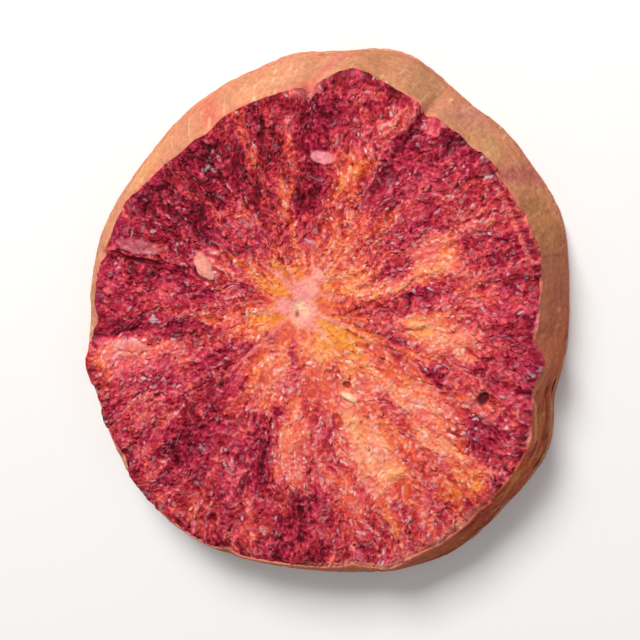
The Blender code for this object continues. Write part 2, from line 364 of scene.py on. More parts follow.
# Streaks of the upper face: direction, half width, start and end in millimetres; then in
# hundredths how pale (0 to 100), how golden (0 rosy, 100 orange, 200 golden), how strong
STREAKS = [
    (56.8, 2.4, 22, 27.5, 6, 0, 85), (54, 1.8, 27.2, 29.5, 84, 50, 80), (84, 2.2, 27, 29.5, 66, 10, 80),
    (150, 45, 13.5, 27, 30, 0, 60), (28, 22, 4.5, 11, 56, 85, 80), (45, 8, 3, 7.5, 58, 140, 70),
    (54, 5, 5.5, 9.5, 44, 160, 70), (24, 8, 6, 9, 70, 100, 60), (9.5, 6, 4.5, 11.5, 38, 30, 70),
    (12, 4, 20.5, 24.5, 60, 50, 70), (37, 4, 23, 27.5, 46, 30, 60), (132.5, 3.5, 20.5, 24.5, 54, 10, 80),
    (181, 5, 3, 5.8, 44, 150, 70), (181, 5, 6, 9, 37, 0, 70), (183, 5, 14, 18.5, 56, 20, 70),
    (15, 5, 9.5, 15.5, 60, 110, 80), (28, 10, 9.2, 12.5, 42, 10, 75), (20.5, 7, 15, 21, 72, 80, 95),
    (28, 4, 15, 21, 74, 80, 80), (4, 5, 4.5, 8, 40, 40, 70), (358, 5, 17, 21.5, 50, 40, 60),
    (12, 5, 28, 31, 44, 0, 60), (18, 5, 22, 30, 26, 0, 70), (29, 3.5, 20.5, 24.5, 54, 60, 60),
    (25.5, 1.8, 21, 29, 60, 40, 60), (33, 4, 12, 23.5, 34, 10, 70), (7.5, 4, 11, 17, 28, 0, 85),
    (4.5, 3.5, 19.5, 25, 50, 10, 70), (45, 4.5, 12.5, 20.5, 54, 90, 75), (53, 6, 8.5, 14.5, 56, 70, 70),
    (50, 7, 19, 29, 31, 10, 70), (67.6, 5.6, 14.5, 21.2, 57, 90, 95), (69.8, 2.2, 17, 22.3, 64, 140, 80),
    (63.5, 4, 22, 28, 55, -40, 80), (77, 6, 23, 32, 28, 0, 80), (66, 4, 27, 32, 20, 0, 80),
    (44, 6, 26.5, 32, 27, 0, 80), (70, 11, 2.8, 6.6, 74, 70, 85), (83.5, 5.5, 12.5, 27, 15, 0, 90),
    (95.5, 4.5, 8, 15.5, 60, 140, 85), (86, 8, 3, 9, 66, 150, 70), (95.5, 4, 16.5, 24, 40, 80, 80),
    (100, 6.5, 15, 26, 23, 10, 80), (108.5, 5, 8.5, 16.5, 21, 30, 80), (107, 3.2, 17, 25.5, 42, 140, 85),
    (109, 3.5, 22.8, 26.2, 42, 110, 80), (121, 10, 16.5, 26, 12, 0, 90), (121.5, 4, 11, 14.5, 44, 80, 70),
    (130.5, 2.8, 14.5, 20, 52, 50, 75), (131, 5, 6.5, 11.5, 44, 20, 70), (141.5, 6, 16.8, 23.5, 0, 0, 95),
    (137, 5, 10.5, 13.5, 24, 0, 80), (150, 12, 7.5, 13, 54, 30, 60), (163, 7, 5, 9, 30, 0, 85),
    (155, 5, 7, 12, 56, 50, 60), (164, 5, 11.5, 15.5, 22, 0, 80), (173, 5, 3.8, 7, 56, 50, 70),
    (166, 5, 15, 26, 20, 0, 80), (175, 8, 9, 25, 33, 0, 70), (184, 6, 10, 20, 42, 0, 70),
    (191.5, 3, 11, 17, 22, 0, 70), (187.5, 3.5, 12.5, 27, 25, 0, 75), (197.5, 5, 17, 27, 58, 30, 85),
    (193.5, 3.5, 20, 26, 72, 20, 80), (198, 3, 20.5, 26, 70, 35, 85), (210, 5, 9, 12.5, 16, 0, 85),
    (203, 4, 19, 26, 46, 0, 70), (216, 7, 14.5, 28, 44, 10, 70), (230, 8, 17.5, 26, 17, 0, 85),
    (228, 6, 15, 17.5, 42, 0, 60), (246.5, 12, 5, 14, 64, 40, 85), (241, 9, 17, 30, 36, 0, 70),
    (254.5, 3.5, 15.5, 23.5, 14, 0, 90), (244, 6, 14.5, 18, 42, 20, 70), (266, 8, 10, 23, 65, 35, 90),
    (267.5, 7, 22.5, 33, 20, 0, 80), (280, 8, 27, 33, 26, 0, 70), (4, 6, 26.5, 31, 30, 0, 70),
    (150, 7, 3, 6.5, 28, 20, 80), (142, 5, 9, 12, 33, 30, 60), (166, 6, 3, 6, 52, 30, 60),
    (287, 11, 6, 13, 79, 20, 80), (188, 5, 8.5, 12.5, 60, 50, 75), (277.5, 3.5, 12, 21, 51, 30, 85),
    (284, 5, 20.5, 27.5, 72, 50, 85), (296.5, 8, 13, 25.5, 87, 90, 95), (302, 4, 15, 21, 78, 80, 75),
    (297, 10, 9.5, 13, 64, 60, 80), (287, 3, 17.5, 24, 53, 40, 80), (301, 8, 24.5, 27.5, 57, 30, 70),
    (292, 4, 23, 28, 50, 30, 70), (292, 13, 27, 33.5, 44, 20, 60), (292, 1.6, 24, 31, 62, 110, 70),
    (300, 1.5, 24, 31.5, 62, 100, 70), (307.5, 4, 12, 17.5, 50, 90, 85), (308, 3, 18, 21.5, 66, 50, 70),
    (311, 8, 6, 12.5, 68, 140, 75), (301.5, 3, 13.2, 15.5, 50, 80, 60), (281.5, 1.6, 24, 30, 56, 80, 60),
    (322.5, 7.5, 12, 22.5, 83, 75, 95), (327, 4, 9, 27, 54, 60, 50), (316.5, 6, 19.5, 28, 71, 50, 95),
    (313, 4, 10.5, 14.5, 66, 30, 70), (312.5, 4.5, 27.5, 31.5, 56, 120, 90), (315.5, 3, 26, 31, 60, 120, 80),
    (335, 4, 17, 21.5, 24, 0, 85), (330, 6, 22, 27, 62, 60, 80), (329, 9, 9, 18, 62, 80, 70),
    (326, 5.5, 24.5, 30, 26, 0, 80), (337, 5, 25.5, 33, 44, 0, 70), (349, 7.5, 13.8, 21.5, 82, 100, 95),
    (355.5, 5, 13.5, 19, 72, 130, 85), (343, 5, 14.5, 22, 60, 20, 80), (342, 5, 5.5, 9, 46, 60, 80),
    (354, 5, 23, 27, 36, 0, 70), (347, 8, 25, 31, 38, 0, 80), (100, 14, 3.4, 8, 50, 100, 80),
    (134, 20, 2.6, 6.5, 56, 190, 90), (199, 15, 2.6, 6.5, 51, 160, 90), (196, 14, 7, 9.5, 56, 60, 70),
    (224, 7, 3, 6, 38, 60, 80), (210, 5, 3, 6.5, 68, 180, 70), (227, 5.5, 12, 15.5, 19, 0, 80),
    (251, 12, 3, 8, 65, 90, 70), (306, 17, 2.8, 7, 70, 160, 85), (276, 9, 3, 9, 62, 40, 60),
    (300, 22, 7, 11, 56, 80, 65), (329, 11, 2.8, 8.8, 60, 180, 95), (102, 7, 5.5, 12.5, 30, 40, 80),
    (125, 9, 6, 12, 28, 40, 80), (140, 5, 6, 9.5, 62, 110, 75), (219, 5, 7.5, 12.5, 27, 10, 75),
    (229, 5, 5.5, 12, 56, 100, 80), (261, 6, 5, 9, 33, 10, 75), (259, 5, 11.5, 15.5, 30, 0, 75),
    (140, 8, 12, 21, 18, 0, 60), (124, 6, 17.5, 25, 10, 0, 80), (1.5, 5, 7.5, 12, 38, 20, 75),
    (12.5, 4.5, 8.5, 12.5, 74, 110, 85), (84, 7, 8.5, 12, 30, 50, 75), (66, 8, 9, 12.5, 53, 80, 60),
    (68, 20, 5.8, 9.2, 46, 90, 50), (343, 6, 3.5, 9, 38, 170, 85),
]
PLAIN_TONE = 0.395
PLAIN_GOLD = 0.3
MIDDLE_TONE = 0.53
MIDDLE_GOLD = 1


def streak_fields(angle, reach):
    """How pale and how golden the flesh is at each place of the upper face."""
    outer = ramp(reach, 7 * MM, 15 * MM)
    pale = MIDDLE_TONE + (PLAIN_TONE - MIDDLE_TONE) * outer
    gold = MIDDLE_GOLD + (PLAIN_GOLD - MIDDLE_GOLD) * ramp(reach, 4.5 * MM, 10 * MM)
    for direction, half_width, start, end, tone, golden, strength in STREAKS:
        soft = 0.14 * (end - start) * MM + 0.5 * MM
        inside = ramp(reach, start * MM - soft, start * MM + soft)
        inside *= 1 - ramp(reach, end * MM - soft, end * MM + soft)
        spread = np.abs(turn_between(angle, direction) / half_width)
        share = strength / 100 * inside * np.exp(-spread ** 2.4)
        pale += share * (tone / 100 - pale)
        gold += share * (golden / 100 - gold)
    return pale, gold


def flesh_colour(pale, gold):
    """The colour of flesh this pale and this golden."""
    pale = np.clip(pale, 0, 1) * (len(TONES[0]) - 1)
    gold = np.clip(gold, 0, len(TONES) - 1)
    low = np.clip(np.floor(pale).astype(int), 0, len(TONES[0]) - 2)
    hue = np.clip(np.floor(gold).astype(int), 0, len(TONES) - 2)
    table = np.array(TONES)
    up = (pale - low)[..., None]
    over = (gold - hue)[..., None]
    rosier = table[hue, low] * (1 - up) + table[hue, low + 1] * up
    goldener = table[hue + 1, low] * (1 - up) + table[hue + 1, low + 1] * up
    return rosier * (1 - over) + goldener * over


def paint(colour, *coats):
    """The colour under one or more coats, each another colour and its share at each point."""
    for coat, share in coats:
        share = np.clip(share, 0, 1)[..., None]
        colour = colour * (1 - share) + coat * share
    return colour


# ---- Meshes
def add_object(name, data):
    """A new object in the scene."""
    thing = bpy.data.objects.new(name, data)
    bpy.context.scene.collection.objects.link(thing)
    return thing


def store(mesh, name, kind, field, values):
    """Keeps a value for each of the mesh's points, for its material to read."""
    layer = mesh.attributes.new(name, kind, "POINT")
    layer.data.foreach_set(field, np.asarray(values, np.float32).ravel())


def make_piece(name, points, faces, material, colours, gloss):
    """A smooth mesh object that rides with the slice, with its colours at its points."""
    mesh = bpy.data.meshes.new(name)
    mesh.from_pydata(points, [], faces)
    mesh.validate()
    mesh.shade_smooth()
    store(mesh, "tint", "FLOAT_COLOR", "color", np.column_stack([colours, np.ones(len(colours))]))
    store(mesh, "gloss", "FLOAT", "value", gloss)
    mesh.materials.append(material)
    piece = add_object(name, mesh)
    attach(piece, "root")
    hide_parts("orange_slice")


def disc_layout(rings):
    """Directions and shares of an evenly spread disc, whose ring k holds 6k points."""
    angle = [np.zeros(1)]
    share = [np.zeros(1)]
    for k in range(1, rings + 1):
        angle.append(np.arange(6 * k) * 60 / k)
        share.append(np.full(6 * k, k / rings))
    return np.concatenate(angle), np.concatenate(share)


def disc_faces(first, last):
    """The disc's triangles between two of its rings, facing up."""
    faces = []
    if first == 0:
        i = np.arange(1, 7)
        faces.append(np.column_stack([np.zeros(6, int), i, i % 6 + 1]))
    for k in range(max(first, 1) + 1, last + 1):
        outer = 1 + 3 * k * (k - 1)
        inner = 1 + 3 * (k - 1) * (k - 2)
        i = np.arange(6 * k)
        under = inner + (i // k * (k - 1) + i % k) % (6 * (k - 1))
        faces.append(np.column_stack([under, outer + i, outer + (i + 1) % (6 * k)]))
        j = np.arange(6 * (k - 1))
        over = outer + (j // (k - 1) * k + j % (k - 1) + 1) % (6 * k)
        faces.append(np.column_stack([inner + j, over, inner + (j + 1) % (6 * (k - 1))]))
    return np.concatenate(faces)


def flat(angle, reach):
    """The x and y from the pith of a direction and reach."""
    return reach * np.cos(np.radians(angle)), reach * np.sin(np.radians(angle))


def at_pith(angle, reach, height):
    """Points from their direction and reach from the pith, and their height."""
    x, y = flat(angle, reach)
    return np.column_stack([PITH_X + x, PITH_Y + y, np.broadcast_to(height, x.shape)])


# ---- The pith and the pale membranes that spread from it, in millimetres from the pith
PITH_LOBES = [
    (0.45, -0.25, 2.1),
    (0.9, 2.35, 1.9),
    (2.5, 4.4, 0.9),
    (-1.6, 0.55, 1.2),
]

# Pale lines: start, end, half width at the start, and how strong; all taper to ARM_TIP
PITH_ARMS = [
    (-0.3, 3, -2.9, 9.2, 0.4, 0.85),
    (2.3, 4.6, 1.4, 8.6, 0.3, 0.8),
    (2.7, 4, 6.5, 9.3, 0.38, 0.8),
    (2.5, 3.4, 8.5, 6, 0.38, 0.65),
    (2.2, 2.2, 7.2, 1.1, 0.4, 0.65),
    (1.7, -0.2, 10.4, -3.8, 0.5, 0.85),
    (1.7, -1.3, 5.2, -6, 0.55, 0.85),
    (1, -1.4, 1.3, -4.8, 0.4, 0.75),
    (-0.1, -1.8, -0.3, -3.6, 0.4, 0.75),
    (-1.3, -0.9, -12.2, -11.2, 0.36, 0.5),
    (-2, 0.5, -7.6, -1.6, 0.5, 0.85),
    (-0.6, 2.5, -6.4, 7.3, 0.5, 0.8),
    (-1.9, 0.9, -4.8, 1.8, 0.4, 0.65),
]
ARM_TIP = 0.16

# Cream spots: place, half width, and how strong
PITH_CREAMS = [
    (0.05, 0.4, 0.65, 0.95),
    (0.75, -0.55, 0.55, 0.5),
]

# The small hole, painted dark as its shade with no dent in the mesh: place and half width
PITH_HOLE = (-0.32, -0.6, 0.24)


def near_line(x, y, run_x, run_y):
    """How far along a line from the origin each point lies, 0 to 1, and its distance to it."""
    along = np.clip((x * run_x + y * run_y) / (run_x ** 2 + run_y ** 2), 0, 1)
    return along, np.hypot(x - along * run_x, y - along * run_y)


def pith_star(x, y, seed):
    """How far each place belongs to the pith or its pale lines, from 0 to 1."""
    bent_x = x / MM + 0.22 * rough_mottle(x, y, 1.9, seed + 300, 3)
    bent_y = y / MM + 0.22 * rough_mottle(x, y, 1.9, seed + 310, 3)
    star = 0 * x
    for centre_x, centre_y, radius in PITH_LOBES:
        off = np.hypot(bent_x - centre_x, bent_y - centre_y) / radius
        star = np.maximum(star, 1 - ramp(off, 0.66, 1.14))
    for start_x, start_y, end_x, end_y, half_width, strength in PITH_ARMS:
        along, off = near_line(bent_x - start_x, bent_y - start_y, end_x - start_x, end_y - start_y)
        width = ARM_TIP + (half_width - ARM_TIP) * (1 - along) ** 2.5
        star = np.maximum(star, strength * bump(off, width) * (1 - ramp(along, 0.35, 1)))
    return star


def pith_colour(x, y, fine):
    """Salmon pith with a few cream spots, and one small hole painted dark as painted shade."""
    pinker = 0.5 + 0.5 * rough_mottle(x, y, 1.6, FACE_SEED + 320, 2)
    cream = 0 * x
    for centre_x, centre_y, radius, strength in PITH_CREAMS:
        off = np.hypot(x / MM - centre_x, y / MM - centre_y)
        cream = np.maximum(cream, strength * bump(off, radius))
    # The hole's dark is painted shade; the faint olive round it is the pith's own colour
    hole_x, hole_y, radius = PITH_HOLE
    off = np.hypot(x / MM - hole_x, 0.65 * (y / MM - hole_y))
    colour = paint(PITH_TONE, (PITH_PINK, pinker), (PITH_CREAM, cream),
                   (PITH_OLIVE, 0.15 * bump(off, 2 * radius)), (PITH_HOLE_SHADE, bump(off, radius)))
    return colour * (1 + 0.06 * fine)[..., None]


# ---- The flesh of the upper face
FACE_RINGS = 256
FACE_MIDDLE_RINGS = 181
SAC_WIDTH = 1.5 * MM
SAC_LENGTH = 3.8 * MM
SAC_DEPTH = 0.17 * MM
GRAIN_WIDTH = 0.5 * MM
GRAIN_LENGTH = 0.68 * MM
GRAIN_DEPTH = 0.092 * MM
FACE_SEED = 11
LAP_SEED = 71
RIM_DROP = 0.55 * MM
PITH_FLUFF = 0.4 * MM

# Loose flakes, and pits painted dark as shade, of the face: direction and distance from the pith,
# half length, half width, turn of the long side, height, colour, and how strong the colour is
FLAKES = [
    (156, 12.9, 2, 1.1, 115, 0.4, "f0a08c", 0.9),
    (79.8, 19.3, 1.6, 0.92, 168, 0.36, "ee8e96", 0.85),
    (299, 12.4, 1.25, 0.5, 155, 0.3, "fad2b0", 0.85),
    # A pit, painted dark as the shade in it
    (301.6, 11, 0.6, 0.5, 0, -0.4, "8a1216", 0.8),
    # A pit, painted nearly black as the shade in it
    (335, 25, 0.95, 0.75, 60, -0.48, "480a1e", 0.97),
    (159.7, 21.4, 2.9, 1, 170, 0.28, "d87e86", 0.6),
    # A dark groove beside the long flake above, painted as that flake's shadow
    (164, 20.2, 2.6, 0.45, 172, -0.25, "4e0a20", 0.65),
    (193, 22.5, 2.5, 0.8, 172, 0.26, "e6aaa8", 0.5),
]

# Where the painted glints of dry skins crowd: direction, half width, distance and half depth in millimetres
GLITTER = [
    (326, 5, 26, 2.5),
    (141, 7, 20.5, 2.5),
    (118, 8, 20.5, 2.2),
    (84, 4, 15, 3),
    (86, 3, 22.5, 3),
    (2, 6, 13, 1.3),
    (13, 5, 12.5, 1),
    (54, 4, 27, 2),
    (333, 5, 15, 1.4),
    (63, 5, 14.5, 1.6),
    (71, 8, 9.5, 1.1),
    (351, 7, 9.8, 0.9),
    (150, 4, 17.8, 1.2),
    (34, 5, 16.5, 2.5),
    (3, 4, 18.5, 1.5),
    (171, 7, 14.3, 1.3),
    (220, 7, 13, 1.6),
    (55, 5, 11, 1.2),
    (22, 5, 25, 2.5),
    (287, 6, 27.5, 2.5),
    (277, 8, 7, 0.8),
    (238, 9, 7.5, 0.8),
    (297, 5, 27.5, 1.6),
]

# Lines along the rim: direction, half width, start and end as shares of the way, colour, and
# how strong
RIM_BANDS = [
    (24, 9, 0.948, 0.965, "ee7264", 0.95),
    (25, 8, 0.968, 0.982, "7c1424", 0.55),
    (25, 8, 0.986, 1.1, "ee7868", 0.9),
    (357.5, 4, 0.945, 0.968, "7c1030", 0.45),
    (357.5, 5.5, 0.982, 1.1, "ee8490", 0.85),
    (331.5, 4, 0.95, 0.976, "6c0e22", 0.65),
    (331.5, 2.6, 0.984, 1.1, "f08c80", 0.9),
    (349, 5, 0.93, 1.1, "b4284a", 0.55),
    (286, 13, 0.974, 1.1, "f2a486", 0.6),
    (307, 8, 0.965, 1.1, "f0a080", 0.6),
    (86, 3, 0.955, 1.1, "ec8c88", 0.75),
    (151, 9, 0.93, 1.1, "962046", 0.55),
    (176, 12, 0.965, 1.1, "a02648", 0.55),
]
BAND_SOFT = 0.007

# Where the flesh surely laps over the top of the side wall: direction and half width
RIM_LAPS = [(349.5, 4.5), (76, 6), (16, 5), (149.5, 7), (196, 8), (338, 3.5)]


def rim_lap(angle):
    """One where the flesh laps over the top of the side wall, zero where it stays inside."""
    lap = ramp(rim_mottle(angle, 7.5, LAP_SEED), 0.25, 0.75)
    for direction, half_width in RIM_LAPS:
        lap = np.maximum(lap, near(angle, direction, half_width))
    return lap


def plain_face(angle, share):
    """The upper face's height without its juice sacs and grains."""
    reach = face_outline(angle) * share
    outward = np.clip((share - GROOVE_START) / (1 - GROOVE_START), 0, 1)
    height = THICKNESS + CROWN_HEIGHT * (segment_crown(angle) - 0.6) * np.sqrt(outward)
    height += SAG_HEIGHT * share * np.cos(np.radians(2 * angle - 40))
    height -= outward * membrane_grooves(angle, reach)
    return height - PITH_PIT_DEPTH * bump(reach, PITH_PIT_RADIUS)


def flake_share(flake, x, y, unevenness):
    """One on a loose flake or in a pit, falling to zero round it."""
    direction, distance, half_length, half_width, turn = flake[:5]
    heading = np.radians(turn)
    middle_x, middle_y = flat(direction, distance * MM)
    off_x = x - middle_x
    off_y = y - middle_y
    along = (off_x * np.cos(heading) + off_y * np.sin(heading)) / (half_length * MM)
    across = (off_y * np.cos(heading) - off_x * np.sin(heading)) / (half_width * MM)
    return 1 - ramp(np.hypot(along, across) + 0.11 * unevenness, 0.72, 1.06)


def on_flake(angle, reach):
    """Whether each place lies on or close round a loose flake or pit."""
    covered = [flake_share(flake, *flat(angle, reach), -2.3) for flake in FLAKES]
    return np.max(covered, axis=0) > 0


class Flesh:
    """What the upper face is made of at each place: its sacs, grains, fibres and streaks.

    Each noise has a seed of its own, a number on top of FACE_SEED.
    """

    def __init__(self, angle, share):
        self.angle = angle
        self.share = share
        self.reach = face_outline(angle) * share
        self.x, self.y = flat(angle, self.reach)
        self.outer = ramp(self.reach, 6 * MM, 12 * MM)
        self.jitter = self.rough(0.9, 80, 3)
        self.shiver = self.rough(0.9, 84, 3)
        self.fine = self.rough(0.34, 70)
        self.add_sacs()
        self.add_grains()
        self.add_streaks()
        self.add_wear()

    def rough(self, size, seed, layers=2):
        """Noise of several sizes over the face, the largest size millimetres across."""
        return rough_mottle(self.x, self.y, size, FACE_SEED + seed, layers)

    def add_sacs(self):
        """Juice sacs, and bunches of them, in lines that sway a little."""
        sway = 0.45 * MM * self.rough(2.6, 0)
        self.bent_angle = self.angle + np.degrees(sway / np.maximum(self.reach, 3 * MM))
        self.bent_reach = np.maximum(self.reach + 0.6 * MM * self.rough(2.2, 5), 0)
        place = (self.bent_angle, self.bent_reach)
        self.sacs = Cells(*place, SAC_WIDTH, SAC_LENGTH, FACE_SEED + 20)
        self.bunches = Cells(*place, 2.7 * MM, 6.5 * MM, FACE_SEED + 30)
        rays = ridge(radial_mottle(*place, 0.8, 5, FACE_SEED + 160), 0.16)
        self.rays = rays * bump(self.reach - 7 * MM, 4.5 * MM)

    def add_grains(self):
        """Grains, coarser crumbs, strands and fibres, torn out of line."""
        lean = 0.2 * self.shiver + 0.85 * self.rough(4.2, 86)
        torn_angle = self.bent_angle + np.degrees(lean * MM / np.maximum(self.reach, 3 * MM))
        place = (torn_angle, np.maximum(self.bent_reach + 0.22 * MM * self.jitter, 0))
        self.grains = Cells(*place, GRAIN_WIDTH, GRAIN_LENGTH, FACE_SEED + 40, 1)
        self.crumbs = Cells(*place, 1.9 * GRAIN_WIDTH, 2.3 * GRAIN_LENGTH, FACE_SEED + 50, 1)
        self.strands = radial_mottle(*place, 0.6, 1.7, FACE_SEED + 100)
        self.hairs = ridge(radial_mottle(*place, 0.55, 1.5, FACE_SEED + 120), 0.3)
        self.hues = radial_mottle(*place, 0.7, 1.6, FACE_SEED + 140)
        torn_x = self.x + 0.2 * MM * self.shiver
        torn_y = self.y + 0.2 * MM * self.jitter
        self.fibres = ridge(rough_mottle(torn_x, torn_y, 0.8, FACE_SEED + 88, 2), 0.3)

    def add_streaks(self):
        """How pale and golden the streaks are, with fingered ends; pale flesh is less calm."""
        finger = mottle(self.angle / 4, self.reach / (6 * MM), FACE_SEED + 7, 90)
        finger += 0.6 * mottle(self.angle / 2, self.reach / (3.5 * MM), FACE_SEED + 8, 180)
        streak_reach = np.maximum(self.bent_reach + 1.2 * MM * finger, 0)
        self.finger = finger
        self.own_pale, self.own_gold = streak_fields(self.bent_angle, streak_reach)
        self.calm = 1 - 0.58 * ramp(self.own_pale, 0.4, 0.64)

    def add_wear(self):
        """The pith, the loose flakes, full and opened sacs, the gaps between them and pores."""
        self.star = pith_star(self.x, self.y, FACE_SEED)
        self.covered = [flake_share(flake, self.x, self.y, self.jitter) for flake in FLAKES]
        self.smooth = 1 - 0.75 * np.max(self.covered, axis=0)
        self.fresh = ramp(self.reach, 2.2 * MM, 6 * MM) * (1 - 0.85 * self.star) * self.smooth
        self.full = self.sacs.draw(0) > 0.45
        self.gap = bump(self.sacs.border(), 0.08) * (0.3 + 0.7 * self.sacs.draw(2))
        pore = (self.grains.draw(1) > 0.982) * (1 - ramp(self.grains.nearest, 0.2, 0.5))
        self.pore = pore * (1 - ramp(self.own_pale, 0.36, 0.54))


def flesh_height(face):
    """The upper face's height: full sacs stand up, opened ones are thin-walled hollow cups."""
    sacs, grains, crumbs = face.sacs, face.grains, face.crumbs
    full, gap, fresh = face.full, face.gap, face.fresh
    dish = np.clip(1 - 2.2 * sacs.nearest ** 2, -0.6, 1)
    sac_height = np.where(full, 0.55 * dish, -0.65 * dish) * (0.5 + sacs.draw(1))
    dome = np.clip(1 - (grains.nearest / 0.62) ** 2, -0.4, 1)
    grain_height = dome * (0.5 + grains.draw(0)) + 0.9 * (grains.draw(2) - 0.5)
    crumb_height = 1.3 * np.clip(1 - (crumbs.nearest / 0.65) ** 2, -0.5, 1)
    crumb_height = crumb_height * (0.4 + crumbs.draw(0)) + 1.4 * (crumbs.draw(1) - 0.5)
    coarse = ramp(face.rough(3, 55), -0.4, 0.7)
    grain_height = grain_height * (1 - 0.45 * coarse) + crumb_height * (0.15 + 0.55 * coarse)
    grain_height -= 2 * face.pore
    height = plain_face(face.angle, face.share)
    height += SAC_DEPTH * fresh * (sac_height - 0.5 * gap * full + 0.3 * gap * ~full)
    height += GRAIN_DEPTH * face.calm * (0.12 + 0.88 * fresh) * grain_height
    height += 0.05 * MM * face.star * ramp(face.reach, 2 * MM, 4 * MM)
    height += PITH_FLUFF * bump(face.reach, PITH_PIT_RADIUS)
    height += 0.055 * MM * face.fine * face.smooth
    threads = 0.06 * face.strands + 0.08 * face.hairs + 0.1 * face.fibres
    return height + MM * fresh * threads


def curl_rim(face, height):
    """Reach and height with the rim's grains curled over the edge of the side wall."""
    edge = ramp(face.share, 0.965, 1)
    lap = rim_lap(face.angle)
    overhang = 0.1 * MM * rim_mottle(face.angle, 1.2, FACE_SEED + 61)
    reach = face.reach + edge * (overhang + (0.42 * lap - 0.1) * MM)
    return reach, height - RIM_DROP * (0.5 + 0.5 * lap) * edge ** 2


def flesh_pale(face, sac_pale):
    """How pale the flesh is, with the unevenness of its sacs, grains and fibres, and painted shade in the
    creases between full sacs and in the pores.
    """
    sacs, grains, crumbs = face.sacs, face.grains, face.crumbs
    own_pale, fresh, gap, outer = face.own_pale, face.fresh, face.gap, face.outer
    busy = fresh * (1 - 0.55 * ramp(own_pale, 0.42, 0.65))
    dusk = 1 - ramp(own_pale, 0.12, 0.36)
    pale = own_pale + 0.3 * sacs.inside(0.35) * (sac_pale - own_pale)
    pale += (0.11 + 0.08 * outer) * (sacs.draw(3) - 0.5) * sacs.inside(0.25)
    pale += 0.06 * (face.bunches.draw(0) - 0.5) * outer * face.bunches.inside(0.3)
    pale += 0.055 * face.calm * face.rough(1.9, 72)
    pale += 0.16 * (crumbs.draw(2) - 0.5) * crumbs.inside(0.3) * busy
    threads = 0.06 * face.strands + 0.14 * (face.hairs - 0.28) + 0.2 * (face.fibres - 0.28)
    pale += threads * busy
    pale += 0.16 * (grains.draw(5) - 0.5) * grains.inside(0.3) * busy
    pale += 0.1 * face.rays * busy
    pale = pale + (0.08 + 0.035 * busy + 0.02 * dusk) * face.fine + 0.02 * face.finger * outer
    # Painted shade darkens the creases between full sacs; the thin walls of opened sacs are paler. Pores are
    # painted darker, as painted shade in them.
    pale = pale - 0.14 * gap * face.full * fresh + 0.1 * gap * ~face.full * fresh
    pale -= 0.35 * face.pore
    return np.maximum(pale, own_pale - 0.34 + 0.22 * ramp(own_pale, 0.42, 0.66))


def flesh_gold(face, sac_gold, pale):
    """How golden the flesh is: little in the darkest flesh and in the palest."""
    sacs, grains, own_gold = face.sacs, face.grains, face.own_gold
    gold = own_gold + 0.3 * sacs.inside(0.35) * (sac_gold - own_gold)
    gold += 0.5 * (face.bunches.draw(1) - 0.5) * face.outer
    gold = gold + 0.4 * (sacs.draw(4) - 0.5) + 0.35 * (grains.draw(6) - 0.5) * grains.inside(0.3)
    gold += 0.36 * face.hues
    gold *= 0.35 + 0.65 * ramp(face.own_pale, 0.1, 0.36)
    gold = np.minimum(gold, own_gold + 0.5) + 0.2 * ramp(face.own_pale, 0.34, 0.55)
    return np.minimum(gold, 2 - 0.9 * ramp(pale, 0.6, 0.84))


def flesh_paint(face):
    """The colour of the flesh and the pith, with painted shade along the rim."""
    sac_pale, sac_gold = streak_fields(face.sacs.angle, np.maximum(face.sacs.reach, 0))
    pale = flesh_pale(face, sac_pale)
    gold = flesh_gold(face, sac_gold, pale)
    # Painted shade: the flesh darkens over the last stretch before the rim, where the face curves down
    pale = pale - 0.1 * ramp(face.share, 0.93, 1) - 0.6 * np.maximum(pale - 0.78, 0)
    return paint(flesh_colour(pale, gold), (pith_colour(face.x, face.y, face.fine), face.star))


def add_glints(face, reach, colour):
    """Painted highlights of dry skins: many faint ones, crowds of greyer ones; and their shine."""
    grains, own_pale = face.grains, face.own_pale
    crowd = 0 * reach
    for direction, half_width, distance, half_depth in GLITTER:
        close = near(face.angle, direction, half_width)
        crowd = np.maximum(crowd, close * bump(reach - distance * MM, half_depth * MM))
    crowd *= 0.7 + 0.6 * face.rough(1.6, 95)
    spot = 1 - ramp(grains.nearest + 0.14 * face.fine, 0.18, 0.46)
    lively = 0.2 + 0.8 * ramp(own_pale, 0.18, 0.42)
    faint = (grains.draw(7) > 1 - 0.44 * lively) * (0.15 + 0.3 * grains.draw(9))
    often = 0.085 * lively + 0.24 * crowd
    strong = (grains.draw(10) > 1 - often) * (0.35 + 0.55 * grains.draw(9))
    strong *= 0.7 + 0.3 * lively
    # Painted highlights: each glint lightens the flesh's colour
    glint = np.maximum(faint, strong) * spot * face.fresh
    tone = paint(GLINT_TONE, (GLINT_GREY, 1.2 * strong), (GLINT_PALE, ramp(own_pale, 0.3, 0.6)))
    return paint(colour, (tone, glint)), strong * spot


def add_rim_bands(face, colour):
    """The colour with the broken pale and dark lines along the rim."""
    broken = 0.75 + 0.5 * rim_mottle(face.angle, 1.5, FACE_SEED + 97)
    way = face.share + 0.003 * face.fine
    for direction, half_width, start, end, tone, strength in RIM_BANDS:
        band = ramp(way, start, start + BAND_SOFT) * (1 - ramp(way, end, end + BAND_SOFT))
        band = band * broken * near(face.angle, direction, half_width)
        colour = paint(colour, (linear(tone), strength * band))
    return colour


def face_surface(angle, share):
    """Points, colours and gloss of the upper face."""
    face = Flesh(angle, share)
    reach, height = curl_rim(face, flesh_height(face))
    colour, shine = add_glints(face, reach, flesh_paint(face))
    colour = add_rim_bands(face, colour)
    for flake, there in zip(FLAKES, face.covered):
        rise, code, strength = flake[5:]
        height += rise * MM * there ** 0.7
        tone = linear(code) * (1 + 0.16 * face.fine[..., None])
        patchy = strength + (1 - strength) * (1.2 * face.strands + 0.8 * (face.fibres - 0.35))
        colour = paint(colour, (tone, patchy * there))
    gloss = np.clip(0.2 * face.grains.draw(8) + 0.5 * shine, 0, 1)
    return at_pith(angle, reach, height), colour, gloss


